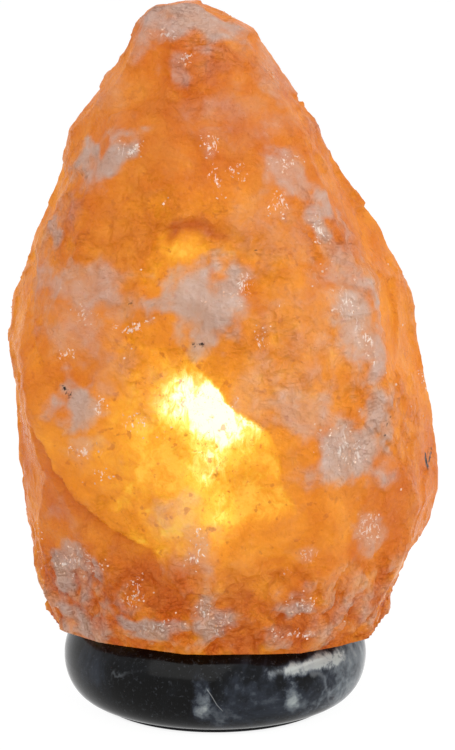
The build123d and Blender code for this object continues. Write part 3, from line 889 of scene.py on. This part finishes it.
def makeGrainMaterial():
    material = newMaterial("clearSaltGrain")
    g = Graph(material.node_tree)
    tint = g.noise(g.position(), 300.0, 2.0)
    # the grains glow with painted light from inside, as the salt around them does
    g.surface(
        Base_Color=g.ramp(tint, [(0.35, (0.50, 0.30, 0.20)), (0.65, (0.70, 0.58, 0.50))]),
        Roughness=0.12,
        Emission_Color=g.ramp(tint, [(0.35, (0.20, 0.07, 0.02)), (0.65, (0.24, 0.12, 0.06))]),
        Emission_Strength=1.0,
        IOR=1.54,
        Normal=g.bump(g.noise(g.position(), 1500.0, 2.0), 0.3, 0.2 * mm),
    )
    return material


paintCrystal(lump.data, *carveCrystal(lump.data))
grainValues = inMetres(saltGrains, "Grains per square metre", "Slimness", "Seed")
grains = grown(lump.data, grainTree(makeGrainMaterial()), grainValues, "saltGrains")
keepInside(grains.data, "salt_crystal")
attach(grains, "lamp")
lump.data.materials.append(makeSaltMaterial())
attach(lump, "lamp")
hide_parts("salt_crystal")
print("crystal painted")


# marble base; scales are per metre, places and widths in millimetres
marble = {
    "clouds": (38.0, 6.0, 0.62, 0.8),
    "fine": (210.0, 4.0, 0.6, 0.3),
    "drift": (26.0, 3.0, 0.6),
    "specks": (800.0, 4.0, 0.7),
    "bodyColours": (
        (0.42, (0.0015, 0.0015, 0.0015)),
        (0.55, (0.005, 0.006, 0.008)),
        (0.67, (0.022, 0.027, 0.038)),
        (0.82, (0.13, 0.15, 0.17)),
        (1.0, (0.38, 0.42, 0.42)),
    ),
    # pale places on the front: middle, half sizes, strength; the first two are pale streaks, the third is a
    # painted highlight on the upper right of the rim, the fourth painted light on the right end, the fifth a
    # painted reflection on the lower front
    "paleStreaksAndPaintedLight": (
        ((-4.8, -50, 15.5), (3.0, 9, 7), 1.05),
        ((25.5, -43, 14.0), (2.4, 9, 5), 0.85),
        ((31, -37, 22.8), (15, 12, 2.4), 1.9),
        ((50, -12, 14), (19, 24, 18), 0.85),
        ((18, -46, 10), (30, 10, 9), 0.48),
    ),
    "veinScale": 26.0,
    "veinWidth": 0.030,  # as a share of the space between veins
    "veinColour": rgba(0.30, 0.33, 0.36),
    # one thin white vein on the front: from, to (x, z), its core's and its whole half width
    "whiteVein": ((-3.2, 18.3), (2.4, 10.7), 0.03, 0.2),
    "whiteVeinColour": rgba(0.34, 0.36, 0.37),
    "speckColour": rgba(0.075, 0.085, 0.10),
    "roughness": (0.10, 0.20),
    "ior": 1.5,
    "gloss": 0.13,
}


def whiteVein(g, place, drift):
    (fromX, fromZ), (toX, toZ), core, halfWidth = marble["whiteVein"]
    run = math.hypot(toX - fromX, toZ - fromZ)
    alongX, alongZ = (toX - fromX) / run, (toZ - fromZ) / run
    gap = g.vector("SUBTRACT", place, Vector((fromX, 0, fromZ)) * mm)
    along = g.vector("DOT_PRODUCT", gap, (alongX, 0, alongZ), "Value")
    across = g.vector("DOT_PRODUCT", gap, (-alongZ, 0, alongX), "Value")
    across = g.add(across, g.between(drift, 0.3, 0.7, -1.5 * mm, 1.5 * mm))
    thin = g.between(g.maths("ABSOLUTE", across), core * mm, halfWidth * mm, 1.0, 0.0)
    fromMiddle = g.maths("ABSOLUTE", g.less(along, run * mm / 2))
    thin = g.times(thin, g.between(fromMiddle, 0.4 * run * mm, 0.55 * run * mm, 1.0, 0.0))
    depth = g.node("ShaderNodeSeparateXYZ", {0: place}).outputs["Y"]
    return g.times(thin, g.between(depth, -30 * mm, -20 * mm, 0.7, 0.0))


def makeMarbleMaterial():
    material = newMaterial("darkMarble")
    g = Graph(material.node_tree)
    place = g.position()
    clouds = g.noise(place, *marble["clouds"])
    fine = g.noise(place, *marble["fine"])
    drift = g.noise(place, *marble["drift"])
    specks = g.noise(place, *marble["specks"])
    cloudsAndPaintedLight = clouds
    # the pale streaks, and the painted highlight, light and reflection, lighten the stone's clouds
    for middle, half, strength in marble["paleStreaksAndPaintedLight"]:
        share = g.vector("DIVIDE", g.vector("SUBTRACT", place, Vector(middle) * mm), Vector(half) * mm)
        reach = g.vector("LENGTH", share, result="Value")
        reach = g.add(reach, g.between(fine, 0.2, 0.8, -0.4, 0.4))
        cloudsAndPaintedLight = g.add(cloudsAndPaintedLight, g.between(reach, 0.3, 1.5, strength * 0.3, 0.0))
    colour = g.ramp(cloudsAndPaintedLight, marble["bodyColours"])

    warp = g.node("ShaderNodeCombineXYZ", {
        "X": g.times(drift, 0.05),
        "Y": g.times(clouds, 0.05),
        "Z": g.times(fine, 0.006),
    }).outputs[0]
    edge = g.cells(g.vector("ADD", place, warp), marble["veinScale"], "DISTANCE_TO_EDGE")
    vein = g.between(edge, 0.0, marble["veinWidth"], 1.0, 0.0)
    vein = g.times(vein, g.between(drift, 0.50, 0.66))
    colour = g.mix(g.times(vein, 0.35), colour, marble["veinColour"])
    colour = g.mix(whiteVein(g, place, drift), colour, marble["whiteVeinColour"])
    colour = g.mix(g.between(specks, 0.55, 0.72, 0.0, 0.45), colour, marble["speckColour"])
    g.surface(
        Base_Color=colour,
        Roughness=g.between(fine, 0.3, 0.7, *marble["roughness"]),
        IOR=marble["ior"],
        Specular_IOR_Level=marble["gloss"],
        Normal=g.bump(fine, 0.05, 0.3 * mm),
    )
    return material


def dress(material, *names):
    for name in names:
        mesh = nodes[name].data
        mesh.materials.clear()
        mesh.materials.append(material)


dress(makeMarbleMaterial(), "marble_base")
print("base dressed")


# finishes of the small parts: the two colours that the pattern runs between, roughness low and high,
# pattern scale per metre, how it is stretched, bump strength, bump depth in millimetres, metal or not
finishes = {
    "chargedFelt": ((0.012, 0.012, 0.014), (0.05, 0.05, 0.055), (0.9, 1.0), 1900, (1, 1, 3), 0.9, 0.35, 0),
    "milkyGlue": ((0.50, 0.47, 0.40), (0.66, 0.63, 0.56), (0.30, 0.50), 260, (1, 1, 1), 0.5, 0.4, 0),
    "springSteel": ((0.42, 0.43, 0.45), (0.62, 0.63, 0.65), (0.22, 0.42), 2600, (0.08, 1, 1), 0.25, 0.05, 1),
    "platedSteel": ((0.55, 0.54, 0.51), (0.74, 0.74, 0.72), (0.2, 0.38), 1500, (1, 1, 0.3), 0.2, 0.05, 1),
    "blackPlastic": ((0.01, 0.01, 0.01), (0.022, 0.022, 0.023), (0.35, 0.5), 2200, (1, 1, 1), 0.25, 0.05, 0),
    "whiteCeramic": ((0.66, 0.64, 0.58), (0.82, 0.81, 0.77), (0.30, 0.50), 420, (1, 1, 1), 0.2, 0.1, 0),
    "brass": ((0.58, 0.38, 0.12), (0.80, 0.60, 0.26), (0.22, 0.40), 900, (1, 1, 0.2), 0.2, 0.05, 1),
    "solder": ((0.42, 0.42, 0.43), (0.66, 0.66, 0.68), (0.30, 0.50), 900, (1, 1, 1), 0.5, 0.12, 1),
    "blackGlass": ((0.012, 0.008, 0.016), (0.035, 0.022, 0.045), (0.06, 0.14), 300, (1, 1, 1), 0.1, 0.1, 0),
    "leadMetal": ((0.36, 0.33, 0.29), (0.55, 0.51, 0.46), (0.25, 0.40), 3000, (1, 1, 0.2), 0.2, 0.03, 1),
}


def makeFinish(name):
    dark, light, rough, scale, stretch, bumpStrength, bumpDepth, metal = finishes[name]
    material = newMaterial(name)
    g = Graph(material.node_tree)
    pattern = g.noise(g.position(stretch), scale, 4.0, 0.6, 0.2)
    wear = g.noise(g.position(), scale * 0.12, 4.0, 0.6, 0.4)
    mixed = g.add(g.times(pattern, 0.6), g.times(wear, 0.4))
    g.surface(
        Base_Color=g.ramp(mixed, [(0.36, dark), (0.64, light)]),
        Roughness=g.between(wear, 0.3, 0.7, *rough),
        Metallic=metal,
        Normal=g.bump(pattern, bumpStrength, bumpDepth * mm),
    )
    return material


def makeThreaded(name, base, pitch, depth):
    # a finish with the grooves of a screw thread: pitch and depth in millimetres
    dark, light, rough, scale, *others, metal = finishes[base]
    material = newMaterial(name)
    g = Graph(material.node_tree)
    place = g.position()
    axes = g.node("ShaderNodeSeparateXYZ", {"Vector": place}).outputs
    turn = g.maths("DIVIDE", g.maths("ARCTAN2", axes["Y"], axes["X"]), math.tau)
    phase = g.less(g.maths("DIVIDE", axes["Z"], pitch * mm), turn)
    wave = g.maths("SINE", g.times(phase, math.tau))
    pattern = g.noise(place, scale, 4.0, 0.6)
    # painted shade and highlight: the colour is darker in the thread's grooves and lighter on its crests
    mixed = g.add(g.between(wave, -1, 1, 0, 0.4), g.times(pattern, 0.6))
    g.surface(
        Base_Color=g.ramp(mixed, [(0.30, dark), (0.70, light)]),
        Roughness=g.between(pattern, 0.3, 0.7, *rough),
        Metallic=metal,
        Normal=g.bump(wave, 1.0, depth * mm),
    )
    return material


def makeGlass():
    material = newMaterial("clearGlass")
    g = Graph(material.node_tree)
    smoke = g.noise(g.position(), 45.0, 3.0)
    g.surface(
        Base_Color=g.ramp(smoke, [(0.3, (0.93, 0.95, 0.97)), (0.7, (1.0, 1.0, 1.0))]),
        Roughness=g.between(smoke, 0.3, 0.7, 0.0, 0.03),
        Transmission_Weight=1.0,
        IOR=1.46,
        Normal=g.bump(g.noise(g.position(), 80.0, 2.0), 0.03, 0.5 * mm),
    )
    return material


def makeTungsten():
    material = newMaterial("glowingTungsten")
    g = Graph(material.node_tree)
    heat = g.noise(g.position(), 500.0, 2.0)
    g.surface(
        Base_Color=rgba(0.40, 0.36, 0.30),
        Roughness=g.between(heat, 0.3, 0.7, 0.35, 0.5),
        Metallic=1.0,
        Emission_Color=g.ramp(heat, [(0.3, (1.0, 0.52, 0.16)), (0.7, (1.0, 0.80, 0.42))]),
        Emission_Strength=6.0,
    )
    return material


dress(makeFinish("chargedFelt"), "felt_pad")
dress(makeFinish("milkyGlue"), "adhesive_ring")
dress(makeFinish("springSteel"), "spring_clip")
dress(makeFinish("platedSteel"), "lock_washer", "nipple_nut")
dress(makeThreaded("nippleThread", "platedSteel", 1.0, 0.35), "nipple")
dress(makeFinish("blackPlastic"), "cord_bush", "holder_cap", "holder_shell")
dress(makeFinish("whiteCeramic"), "contact_block")
dress(makeFinish("brass"), "terminal_screws", "centre_contact")
dress(makeThreaded("rolledBrass", "brass", 2.82, 0.5), "threaded_sleeve")
dress(makeFinish("solder"), "bulb_contact")
dress(makeFinish("blackGlass"), "bulb_insulator")
dress(makeGlass(), "bulb_glass", "bulb_stem")
dress(makeFinish("leadMetal"), "lead_wires", "filament_support")
print("small parts dressed")


# the bulb's screw cap, in millimetres
bulbCap = {
    "Radius": 6.75,
    "Wall": 0.3,
    "Thread depth": 0.52,
    "Pitch": 2.82,
    "Bottom": 59.5,
    "Height": 17.0,
    "Foot narrowing": 1.3,
    "Collar step": 0.15,
}

# the bulb's coiled filament, in millimetres
filamentCoil = {
    "Span": 13.0,
    "Arch": 1.6,
    "Coil radius": 0.32,
    "Wire radius": 0.075,
    "Turns": 26.0,
    "Level": 97.1,
}


def threadTree(material):
    # a sheet rolled round the axis, up outside and down inside, its radius waving along a screw line
    tree, g, given = newTree("rolledThread", bulbCap)
    sheet = g.node("GeometryNodeMeshGrid", {"Vertices X": 57, "Vertices Y": 131})
    axes = g.node("ShaderNodeSeparateXYZ", {0: g.node("GeometryNodeInputPosition").outputs[0]}).outputs
    turn = g.add(axes["X"], 0.5)
    fold = g.add(axes["Y"], 0.5)
    rise = g.less(1.0, g.maths("ABSOLUTE", g.times(axes["Y"], 2.0)))
    height = g.times(rise, given["Height"])
    angle = g.times(turn, math.tau)
    phase = g.less(g.maths("DIVIDE", height, given["Pitch"]), turn)
    wave = g.between(g.maths("COSINE", g.times(phase, math.tau)), -1.0, 1.0, 1.0, 0.0)
    ends = g.times(g.between(rise, 0.07, 0.17), g.between(rise, 0.51, 0.59, 1.0, 0.0))
    inside = g.times(g.between(fold, 0.5, 0.52), g.between(fold, 0.98, 1.0, 1.0, 0.0))
    radius = given["Radius"]
    for share, cut in (
        (g.times(wave, ends), "Thread depth"),
        (g.between(rise, 0.0, 0.09, 1.0, 0.0), "Foot narrowing"),
        (g.between(rise, 0.66, 0.71), "Collar step"),
        (inside, "Wall"),
    ):
        radius = g.less(radius, g.times(share, given[cut]))
    place = g.node("ShaderNodeCombineXYZ", {
        "X": g.times(radius, g.maths("COSINE", angle)),
        "Y": g.times(radius, g.maths("SINE", angle)),
        "Z": g.add(height, given["Bottom"]),
    }).outputs[0]
    rolled = g.node("GeometryNodeSetPosition", {"Geometry": sheet.outputs["Mesh"], "Position": place})
    joined = g.node("GeometryNodeMergeByDistance", {"Geometry": rolled.outputs[0], "Distance": 0.01 * mm})
    smooth = g.node("GeometryNodeSetShadeSmooth", {"Geometry": joined.outputs[0]}).outputs[0]
    closeTree(g, smooth, material)
    return tree


def coilTree(material):
    # a spiral laid along X and drawn up in its middle
    tree, g, given = newTree("filamentCoil", filamentCoil)
    spiral = g.node("GeometryNodeCurveSpiral", {
        "Resolution": 14,
        "Rotations": given["Turns"],
        "Start Radius": given["Coil radius"],
        "End Radius": given["Coil radius"],
        "Height": given["Span"],
    }).outputs["Curve"]
    axes = g.node("ShaderNodeSeparateXYZ", {0: g.node("GeometryNodeInputPosition").outputs[0]}).outputs
    along = g.less(g.maths("DIVIDE", axes["Z"], given["Span"]), 0.5)
    ends = g.times(g.times(along, along), 4.0)
    lift = g.times(g.less(1.0, ends), given["Arch"])
    place = g.node("ShaderNodeCombineXYZ", {
        "X": g.times(along, given["Span"]),
        "Y": axes["X"],
        "Z": g.add(g.add(axes["Y"], given["Level"]), lift),
    }).outputs[0]
    bent = g.node("GeometryNodeSetPosition", {"Geometry": spiral, "Position": place}).outputs[0]
    ring = g.node("GeometryNodeCurvePrimitiveCircle", {"Resolution": 6, "Radius": given["Wire radius"]})
    wire = g.node("GeometryNodeCurveToMesh", {
        "Curve": bent,
        "Profile Curve": ring.outputs["Curve"],
        "Fill Caps": True,
    }).outputs[0]
    smooth = g.node("GeometryNodeSetShadeSmooth", {"Geometry": wire}).outputs[0]
    closeTree(g, smooth, material)
    return tree


emptyMesh = bpy.data.meshes.new("emptyMesh")
cap = grown(emptyMesh, threadTree(makeFinish("platedSteel")), inMetres(bulbCap), "bulbCapThread")
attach(cap, "bulb")
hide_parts("bulb_cap")
coil = grown(emptyMesh, coilTree(makeTungsten()), inMetres(filamentCoil, "Turns"), "coiledFilament")
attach(coil, "bulb")
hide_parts("filament")
print("bulb made")
